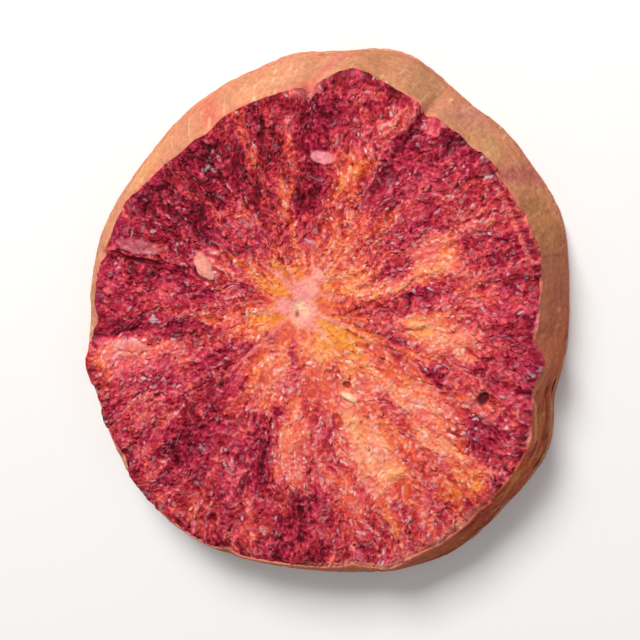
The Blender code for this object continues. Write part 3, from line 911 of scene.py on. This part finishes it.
def build_face(material):
    """The upper face, in an inner and an outer piece."""
    angle, share = disc_layout(FACE_RINGS)
    points, colours, gloss = face_surface(angle, share)
    start = 1 + 3 * FACE_MIDDLE_RINGS * (FACE_MIDDLE_RINGS - 1)
    end = 1 + 3 * FACE_MIDDLE_RINGS * (FACE_MIDDLE_RINGS + 1)
    make_piece("flesh_face_middle", points[:end], disc_faces(0, FACE_MIDDLE_RINGS), material,
               colours[:end], gloss[:end])
    make_piece("flesh_face_rim", points[start:],
               disc_faces(FACE_MIDDLE_RINGS, FACE_RINGS) - start, material,
               colours[start:], gloss[start:])


# ---- Small dry flakes of torn juice sacs that stand out of the flesh
FLAKE_COUNT = 3000
FLAKE_SEED = 77
FLAKE_THICKNESS = 0.03 * MM
FLAKE_RISE = 0.06 * MM

# The leaf's two corner quads that are cut along their other diagonal, so that no triangle lies
# wholly on the leaf's border, where its two sides meet
TURNED_QUADS = ((0, 1), (3, 0))


def leaf_shape():
    """A thin closed leaf of unit half length and width: its points and triangles."""
    points = []
    index = {}
    for side in (1, -1):
        for i, along in enumerate((-1, -0.5, 0, 0.5, 1)):
            for j, across in enumerate((-1, 0, 1)):
                border = abs(along) == 1 or abs(across) == 1
                if border and side == -1:
                    index[side, i, j] = index[1, i, j]
                    continue
                index[side, i, j] = len(points)
                width = np.sqrt(1 - 0.93 * along ** 2)
                points.append((along, across * width, 0 if border else side))
    faces = []
    for side in (1, -1):
        for i in range(4):
            for j in range(2):
                a, b = index[side, i, j], index[side, i + 1, j]
                c, d = index[side, i + 1, j + 1], index[side, i, j + 1]
                pair = [(a, b, c), (a, c, d)]
                if (i, j) in TURNED_QUADS:
                    pair = [(a, b, d), (b, c, d)]
                faces += pair if side == 1 else [face[::-1] for face in pair]
    return np.array(points), np.array(faces)


def flake_places():
    """Each flake's number, direction and share of the way out, fewer in the pale flesh."""
    i = np.arange(FLAKE_COUNT)
    share = np.sqrt(0.02 + 0.93 * chance(i, 0, FLAKE_SEED))
    angle = 360 * chance(i, 1, FLAKE_SEED)
    reach = face_outline(angle) * share
    own_pale, _ = streak_fields(angle, reach)
    clear = chance(i, 11, FLAKE_SEED) > 0.8 * ramp(own_pale, 0.45, 0.65)
    clear = clear & ~on_flake(angle, reach)
    return i[clear], angle[clear], share[clear]


def leaf_axes(turn, pitch, roll):
    """The directions along, across and out of each leaf."""
    along = np.column_stack([np.cos(turn) * np.cos(pitch), np.sin(turn) * np.cos(pitch),
                             np.sin(pitch)])
    level = np.column_stack([-np.sin(turn), np.cos(turn), np.zeros(len(turn))])
    upward = np.cross(along, level)
    across = level * np.cos(roll)[:, None] + upward * np.sin(roll)[:, None]
    return along, across, np.cross(along, across)


def build_flakes(material):
    """Thousands of curled flakes, each the size and colour of its place on the face."""
    i, angle, share = flake_places()

    def draw(number):
        return chance(i, number, FLAKE_SEED)

    centres, colours, _ = face_surface(angle, share)
    template, faces = leaf_shape()
    a, c, h = template.T
    half_length = MM * (0.16 + 0.36 * draw(2) ** 3)
    half_width = half_length * (0.35 + 0.45 * draw(3))
    along, across, normal = leaf_axes(np.radians(angle + 70 * (draw(4) - 0.5)),
                                      np.radians(50 * (draw(5) - 0.35)),
                                      np.radians(80 * (draw(6) - 0.5)))
    curl = half_length * (0.7 * draw(7) - 0.1)
    cup = half_width * 0.5 * draw(8)
    lift = h * FLAKE_THICKNESS - curl[:, None] * a ** 2 - cup[:, None] * c ** 2
    points = centres[:, None, :] + along[:, None, :] * (half_length[:, None] * a)[..., None]
    points += across[:, None, :] * (half_width[:, None] * c)[..., None]
    points += normal[:, None, :] * lift[..., None]
    points += np.array([0, 0, FLAKE_RISE])
    tints = paint(colours, (LEAF_TONE, 0.05 + 0.25 * draw(9) ** 3))
    faces = faces + (np.arange(len(i)) * len(template))[:, None, None]
    make_piece("sac_flakes", points.reshape(-1, 3), faces.reshape(-1, 3), material,
               np.repeat(tints, len(template), axis=0),
               np.repeat(0.15 + 0.6 * draw(10) ** 2, len(template)))


# ---- The underside, finished like the face that shows
UNDER_RINGS = 118
UNDER_EDGE = 1 - 3 / UNDER_RINGS
UNDER_SEED = FACE_SEED + 200


def turn_under(angle, outline, reach, height, share):
    """Reach and height with the underside's edge turned up and in, to meet the wall's foot."""
    turned = np.clip((share - UNDER_EDGE) / (1 - UNDER_EDGE), 0, 1)
    outward = np.clip(turned / 0.66, 0, 1)
    inward = np.clip((turned - 0.66) / 0.34, 0, 1)
    proud = 0.04 * MM + 0.05 * MM * rim_mottle(angle, 1.5, UNDER_SEED + 60)
    reach = np.minimum(reach, outline * UNDER_EDGE)
    reach = reach + outward * (outline * (1 - UNDER_EDGE) + proud) - 0.3 * MM * inward
    return reach, height + 0.13 * MM * outward ** 2 + 0.33 * MM * inward


def under_surface(angle, share):
    """Points, colours and gloss of the underside."""
    outline = wall_outline(angle, 0)
    reach = outline * share
    x, y = flat(angle, reach)
    sway = rough_mottle(x, y, 3, UNDER_SEED, 2)
    bent_angle = angle + np.degrees(0.3 * MM * sway / np.maximum(reach, 3 * MM))
    sacs = Cells(bent_angle, reach, SAC_WIDTH, SAC_LENGTH, UNDER_SEED + 20)
    grains = Cells(angle + 0.4 * sway, reach, GRAIN_WIDTH * 1.2, GRAIN_LENGTH * 1.2,
                   UNDER_SEED + 40)
    fresh = ramp(reach, 2.5 * MM, 7 * MM)
    hollow = 0.5 * np.clip(sacs.nearest ** 2 * (sacs.draw(0) > 0.4), 0, 1)
    hollow = hollow + 0.5 * bump(sacs.border(), 0.08) + 0.5 * bump(grains.border(), 0.12)
    hollow += membrane_grooves(angle, reach) / MM * share
    height = 0.02 * MM + 0.3 * MM * np.clip(hollow - 0.15, 0, 1.2) * fresh
    reach, height = turn_under(angle, outline, reach, height, share)
    pale, gold = streak_fields(14 - sacs.angle, sacs.reach * 0.94)
    pale = pale + 0.2 * (sacs.draw(3) - 0.5) + 0.26 * (grains.draw(5) - 0.5) * fresh
    # Painted shade in the grooves along the sacs' borders
    pale -= 0.16 * bump(sacs.border(), 0.1) * fresh
    gold += 0.6 * (grains.draw(6) - 0.5)
    # The turned edge: pink rests of flesh, painted paler as light against the shade near the floor
    edge_tone = paint(WALL_PALE, (LIP_TONE, 0.45 + 0.5 * rim_mottle(angle, 2, UNDER_SEED + 62)))
    colour = paint(flesh_colour(pale, gold), (PITH_TONE, pith_star(x, y, UNDER_SEED)),
                   (edge_tone, ramp(share, 1 - 3.6 / UNDER_RINGS, UNDER_EDGE)))
    return at_pith(angle, reach, height), colour, 0.25 * grains.draw(8)


def build_underside(material):
    """The underside, in one piece."""
    points, colours, gloss = under_surface(*disc_layout(UNDER_RINGS))
    make_piece("flesh_underside", points, disc_faces(0, UNDER_RINGS)[:, ::-1], material,
               colours, gloss)


# ---- The side wall: the fruit's thin inner skin, left after peeling
WALL_COLUMNS = 1440
WALL_ROWS = 52
WALL_SEED = 301

# The wall's upper lip and its foot: how far in or out of the outline each row lies, and how
# far above the wall's top, or how high, in millimetres
WALL_LIP = [(-0.45, -0.8), (-0.26, -0.34), (-0.19, -0.03), (-0.1, 0.04), (-0.02, 0)]
WALL_FOOT = [(-0.06, 0.27), (-0.3, 0.24), (-0.8, 0.45)]

# Stains of the wall, and painted shade with painted red reflected light at the lower right:
# direction, half width, how far it leans from rim to foot, start and end as a share of the way
# down, colour, and how strong
WALL_STAINS_AND_SHADE = [
    (34, 2.2, -5, -0.3, 1.3, "b85c5c", 0.8),
    (51, 3, -4, 0.2, 1.3, "c07a70", 0.55),
    (86, 1.6, -8, -0.3, 1.3, "ce6862", 0.75),
    (68, 14, 0, 0.82, 1.3, "cc7868", 0.55),
    (114.5, 3, 3, -0.3, 1.3, "d06458", 0.75),
    (135, 30, 0, 0.78, 1.3, "dc8866", 0.45),
    (101, 6, 0, -0.3, 0.55, "e29a74", 0.5),
    (40, 4.5, 0, -0.3, 0.7, "c48f60", 0.6),
    (62, 5, 0, -0.3, 1.3, "9c7050", 0.6),
    (74, 7, 0, -0.3, 1.3, "a8704e", 0.6),
    (21, 8, 0, -0.3, 0.9, "b07646", 0.6),
    # A thin dark crack line: painted shade, with no crack cut in the mesh
    (13.5, 0.4, -2.7, 0, 1, "6e4228", 0.45),
    (2, 6, 0, 0.2, 0.85, "b26456", 0.5),
    (2, 7, 0, 0.9, 1.3, "b82c40", 0.85),
    (346, 6, 0, 0.1, 1, "b45c48", 0.6),
    (344, 9, 0, 0.88, 1.3, "b4484a", 0.55),
    (338, 2, 3, 0.4, 1.2, "9c3c34", 0.5),
    # From here to the row at 298°: painted shade of the side turned from the key light, with painted red
    # light reflected into it
    (309, 12, 0, -0.3, 1.3, "a23826", 0.62),
    (325, 6, 2, -0.3, 1.3, "bc5438", 0.7),
    (340, 8, 0, -0.3, 1.3, "c4604a", 0.6),
    (355, 7, 0, -0.3, 1.3, "c26850", 0.55),
    (8, 6, 0, -0.3, 1.3, "c27058", 0.55),
    (298, 12, 0, 0.5, 1.3, "96402a", 0.5),
    (330, 16, 0, 0.72, 1.3, "d68a58", 0.6),
    (141, 9, 0, 0.1, 0.95, "e2a268", 0.5),
]
STAIN_SOFT = 0.15


def wall_rows(step):
    """Reach, height and share of the way down, row by row from the inner lip to the foot."""
    lift = 0.1 * MM * rim_mottle(step, 7.5, WALL_SEED + 1)
    lift += 0.05 * MM * rim_mottle(step, 1.25, WALL_SEED + 2)
    top = plain_face(step, np.full(step.shape, 0.985)) - 0.18 * MM + lift
    top -= 0.4 * MM * rim_lap(step)
    ragged = 0.09 * MM * rim_mottle(step, 1.8, WALL_SEED + 3)
    ragged += 0.06 * MM * rim_mottle(step, 5, WALL_SEED + 4)
    bottom = 0.36 * MM + ragged
    rows = []
    for out, rise in WALL_LIP:
        rows.append((face_outline(step) + out * MM, top + rise * MM, 0 * step))
    for row in range(1, WALL_ROWS + 1):
        down = row / WALL_ROWS
        height = top + (bottom - top) * down
        rows.append((wall_outline(step, height), height, 0 * step + down))
    for out, rise in WALL_FOOT:
        rows.append((wall_outline(step, bottom) + out * MM, rise * MM + ragged, 0 * step + 1))
    return rows


class Skin:
    """The side wall's skin at each place, and the noises that shape and tint it.

    Each noise has a seed of its own, a number on top of WALL_SEED.
    """

    def __init__(self, angle, height, down):
        self.angle = angle
        self.height = height
        self.down = down
        self.creased = near(angle, 325, 30)
        # The side turned from the key light, browned there as painted shade
        self.shade_side = near(angle, 316, 50)
        self.pebble = self.noise(0.55, 0.6, 10) + 0.5 * self.noise(0.28, 0.3, 11)
        self.strand = self.noise(4.6, 0.85, 14) + 0.7 * self.noise(2.2, 0.5, 15)
        self.broad = self.noise(2.4, 1.8, 20)
        self.fine = self.noise(0.7, 0.8, 21)
        self.tiny = self.noise(0.3, 0.35, 26)

    def noise(self, width, tall, seed):
        """Soft noise from -1 to 1 in patches so wide and so tall, in millimetres."""
        turns = 2 * np.pi * FRUIT_RADIUS
        steps = int(round(turns / (width * MM)))
        around = np.radians(self.angle) * FRUIT_RADIUS / turns * steps
        return mottle(around, self.height / (tall * MM), WALL_SEED + seed, steps)


def skin_relief(skin):
    """How far the skin's pebbles, fibres, dents and creases stand out."""
    relief = 0.04 * MM * skin.pebble + 0.035 * MM * skin.noise(0.32, 2.6, 12)
    relief += 0.12 * MM * skin.noise(3.2, 2.4, 13)
    relief += 0.17 * MM * skin.strand * skin.creased * (1 - ramp(skin.down, 0.85, 1))
    relief += 0.34 * MM * skin.creased * skin.noise(2.6, 30, 16)
    relief += 0.1 * MM * skin.creased * skin.noise(1, 5, 17)
    return relief * ramp(skin.down, 0, 0.08)


def skin_ground(skin):
    """The skin's colour: tan and olive; salmon on the upper left, facing the key light, as painted light
    over its own peach; and brown as painted shade on the lower right.
    """
    broad, fine = skin.broad, skin.fine
    olive = ramp(skin.noise(2.6, 2, 22) + 0.4 * fine + 0.3 * skin.tiny, 0, 0.9)
    pinker = ramp(skin.noise(4.2, 6, 23) + 0.2 * fine, 0.4, 0.9)
    hidden = near(skin.angle, 225, 40)
    return paint(WALL_TONE,
                 (WALL_PALE, 0.3 + 0.45 * broad + 0.3 * fine),
                 (WALL_OLIVE, 0.6 * olive),
                 (WALL_LIT_SALMON, 0.7 * near(skin.angle, 130, 38)),
                 (WALL_SHADE_BROWN, 0.8 * skin.shade_side * (0.85 + 0.25 * broad)),
                 (WALL_PINK, 0.45 * pinker * (0.3 + 0.7 * hidden)))


def add_stains_and_shade(skin, colour):
    """The colour with the stains, and the painted shade and painted reflected light, on top."""
    for direction, half_width, lean, start, end, code, strength in WALL_STAINS_AND_SHADE:
        off = turn_between(skin.angle, direction + lean * skin.down)
        off += 0.16 * half_width * skin.broad
        there = bump(off, half_width * (1 + 0.25 * skin.fine))
        way = skin.down + 0.08 * skin.broad
        there *= ramp(way, start, start + STAIN_SOFT)
        there *= 1 - ramp(way, end - STAIN_SOFT, end)
        tone = linear(code) * (1 + 0.12 * skin.fine)[:, None]
        colour = paint(colour, (tone, strength * there))
    return colour


def add_creases(skin, colour):
    """The colour with painted shade and highlights on the creases, spots and pale veins on top."""
    creased, strand = skin.creased, skin.strand
    spots = skin.noise(1.5, 1.3, 28) + 0.3 * skin.fine
    vein = ramp(skin.noise(0.45, 3.2, 27) + 0.3 * skin.fine, 0.65, 1)
    # Painted shade in the hollows between the raised strands, and painted highlights on the strands
    colour = paint(colour,
                   (WALL_CREASE_SHADE, 0.6 * creased * ramp(-strand, 0, 1.1)),
                   (WALL_PALE, 0.55 * creased * ramp(strand, 0.2, 1.1)),
                   (WALL_PURPLE, 0.55 * creased * ramp(spots, 0.25, 0.9)),
                   (WALL_GOLD, 0.5 * creased * ramp(-spots, 0.2, 0.8)),
                   (WALL_VEIN, 0.35 * vein * (1 - 0.7 * skin.shade_side)))
    return colour * (1 + 0.12 * skin.tiny + 0.06 * skin.pebble)[:, None]


def add_lips(skin, colour):
    """The colour with the pink rests of flesh along the foot and the top."""
    foot = ramp(skin.down, 0.93, 1) * ramp(skin.noise(2.4, 9, 24), -0.5, 0.8)
    top = (1 - ramp(skin.down, 0, 0.045)) * ramp(skin.noise(2.6, 9, 25), -0.5, 0.6)
    top *= 1 - near(skin.angle, 320, 9)
    return paint(colour, (LIP_TONE, 0.5 * foot), (LIP_TONE, 0.85 * top))


def wall_faces(rows):
    """The triangles between so many rows of points round the wall."""
    i = np.arange(WALL_COLUMNS)
    j = (i + 1) % WALL_COLUMNS
    faces = []
    for row in range(rows - 1):
        upper = row * WALL_COLUMNS
        lower = upper + WALL_COLUMNS
        faces.append(np.column_stack([upper + i, lower + i, lower + j]))
        faces.append(np.column_stack([upper + i, lower + j, upper + j]))
    return np.concatenate(faces)


def build_wall(material):
    """The side wall, in one piece."""
    step = np.arange(WALL_COLUMNS) * 360 / WALL_COLUMNS
    rows = wall_rows(step)
    reach, height, down = (np.concatenate(part) for part in zip(*rows))
    angle = np.tile(step, len(rows))
    skin = Skin(angle, height, down)
    colour = add_stains_and_shade(skin, skin_ground(skin))
    colour = add_lips(skin, add_creases(skin, colour))
    points = at_pith(angle, reach + skin_relief(skin), height)
    make_piece("side_wall", points, wall_faces(len(rows)), material, colour,
               0.15 + 0.15 * skin.fine)


# ---- Materials
BUMP_HEIGHT = 0.05 * MM


def principled(name):
    """A new material, its node tree and its shader."""
    material = bpy.data.materials.new(name)
    material.use_nodes = True
    return material, material.node_tree, material.node_tree.nodes["Principled BSDF"]


def add_node(tree, kind, values, feeds):
    """A new node, with its inputs set to values or fed by other nodes."""
    node = tree.nodes.new(kind)
    for name, value in values.items():
        node.inputs[name].default_value = value
    for name, output in feeds.items():
        tree.links.new(output, node.inputs[name])
    return node


def noise_node(tree, scale):
    """A noise texture's value, in the object's own coordinates."""
    coordinates = tree.nodes.new("ShaderNodeTexCoord")
    node = add_node(tree, "ShaderNodeTexNoise", {"Scale": scale, "Detail": 3, "Roughness": 0.6},
                    {"Vector": coordinates.outputs["Object"]})
    return node.outputs["Fac"]


def range_node(tree, source, low, high, to_low, to_high):
    """A number stretched from one range to another."""
    values = {"From Min": low, "From Max": high, "To Min": to_low, "To Max": to_high}
    return add_node(tree, "ShaderNodeMapRange", values, {"Value": source}).outputs["Result"]


def point_node(tree, name):
    """A value stored at the mesh's points."""
    node = tree.nodes.new("ShaderNodeAttribute")
    node.attribute_name = name
    return node


def tinted_material(name, fine_scale, matt, specular):
    """Painted by the points' colours, with fine uneven shade, gloss and bumps by noise."""
    material, tree, shader = principled(name)
    tint = point_node(tree, "tint").outputs["Color"]
    gloss = point_node(tree, "gloss").outputs["Fac"]
    speckle = noise_node(tree, fine_scale * 3.1)
    shade = range_node(tree, noise_node(tree, fine_scale), 0.3, 0.7, 0.84, 1.14)
    scaled = add_node(tree, "ShaderNodeVectorMath", {}, {})
    scaled.operation = "SCALE"
    tree.links.new(tint, scaled.inputs[0])
    tree.links.new(shade, scaled.inputs["Scale"])
    tree.links.new(scaled.outputs["Vector"], shader.inputs["Base Color"])
    total = add_node(tree, "ShaderNodeMath", {}, {
        0: range_node(tree, speckle, 0.3, 0.7, -0.08, 0.08),
        1: range_node(tree, gloss, 0, 1, matt, 0.25)})
    total.operation = "ADD"
    total.use_clamp = True
    tree.links.new(total.outputs["Value"], shader.inputs["Roughness"])
    dents = add_node(tree, "ShaderNodeBump", {"Strength": 0.7, "Distance": BUMP_HEIGHT},
                     {"Height": speckle})
    tree.links.new(dents.outputs["Normal"], shader.inputs["Normal"])
    shader.inputs["Specular IOR Level"].default_value = specular
    return material


def floor_material():
    """A plain white surface with a faint unevenness."""
    material, tree, shader = principled("white_surface")
    tone = range_node(tree, noise_node(tree, 8), 0, 1, 0.9, 0.93)
    tree.links.new(tone, shader.inputs["Base Color"])
    shader.inputs["Roughness"].default_value = 0.6
    return material


# ---- Building
def build_slice():
    """Every piece of the slice."""
    flesh = tinted_material("dried_flesh", 2800, 0.7, 0.12)
    build_face(flesh)
    build_flakes(flesh)
    build_underside(flesh)
    build_wall(tinted_material("inner_skin", 1800, 0.8, 0.03))


# The photographed view: the slice's upper side leans away from the camera by this much, in
# this direction of the picture
LEAN = 19
LEAN_DIRECTION = 45
VIEW_WIDTH = 79 * MM
LENS = 180
SENSOR = 36
LIGHT_DISTANCE = 0.6
FLOOR_HALF_WIDTH = 1.5
FLOOR_HEIGHT = -0.03 * MM


def view_turn():
    """The rotation from looking straight down, with +Y up, to the photographed view."""
    axis = Vector((-np.sin(np.radians(LEAN_DIRECTION)), np.cos(np.radians(LEAN_DIRECTION)), 0))
    return Matrix.Rotation(np.radians(LEAN), 4, axis)


def add_camera():
    """The camera, at the photograph's angle."""
    data = bpy.data.cameras.new("camera")
    data.lens = LENS
    data.sensor_width = SENSOR
    data.clip_start = 0.01
    data.clip_end = 10
    camera = add_object("camera", data)
    turn = view_turn()
    distance = VIEW_WIDTH * LENS / SENSOR
    target = Vector((0, 0, 0.45 * THICKNESS))
    place = target + turn.to_3x3() @ Vector((0, 0, distance))
    camera.matrix_world = Matrix.Translation(place) @ turn
    bpy.context.scene.camera = camera


def add_light(name, picture_direction, height, size, power, colour):
    """A soft square light, placed by its direction in the picture and its height above it."""
    data = bpy.data.lights.new(name, "AREA")
    data.size = size
    data.energy = power
    data.color = colour
    lamp = add_object(name, data)
    heading = np.radians(picture_direction)
    rise = np.radians(height)
    away = Vector((np.cos(heading) * np.cos(rise), np.sin(heading) * np.cos(rise), np.sin(rise)))
    place = view_turn().to_3x3() @ away * LIGHT_DISTANCE
    lamp.location = place
    lamp.rotation_mode = "QUATERNION"
    lamp.rotation_quaternion = place.to_track_quat("Z", "Y")


def add_studio():
    """The pale floor, the soft lights and the even surroundings."""
    mesh = bpy.data.meshes.new("floor")
    corners = [(x * FLOOR_HALF_WIDTH, y * FLOOR_HALF_WIDTH, FLOOR_HEIGHT)
               for x, y in ((-1, -1), (1, -1), (1, 1), (-1, 1))]
    mesh.from_pydata(corners, [], [(0, 1, 2, 3)])
    mesh.materials.append(floor_material())
    floor = add_object("floor", mesh)
    add_light("key", 130, 50, 0.26, 3.9, (1, 0.985, 0.96))
    add_light("fill", 330, 65, 0.6, 0.35, (0.96, 0.98, 1))
    world = bpy.data.worlds.new("surroundings")
    world.use_nodes = True
    sky = world.node_tree.nodes["Background"]
    sky.inputs["Color"].default_value = (1, 1, 1, 1)
    sky.inputs["Strength"].default_value = 0.3
    bpy.context.scene.world = world
    bpy.context.scene.view_settings.view_transform = "Standard"


build_slice()
add_camera()
add_studio()

bpy.context.view_layer.update()
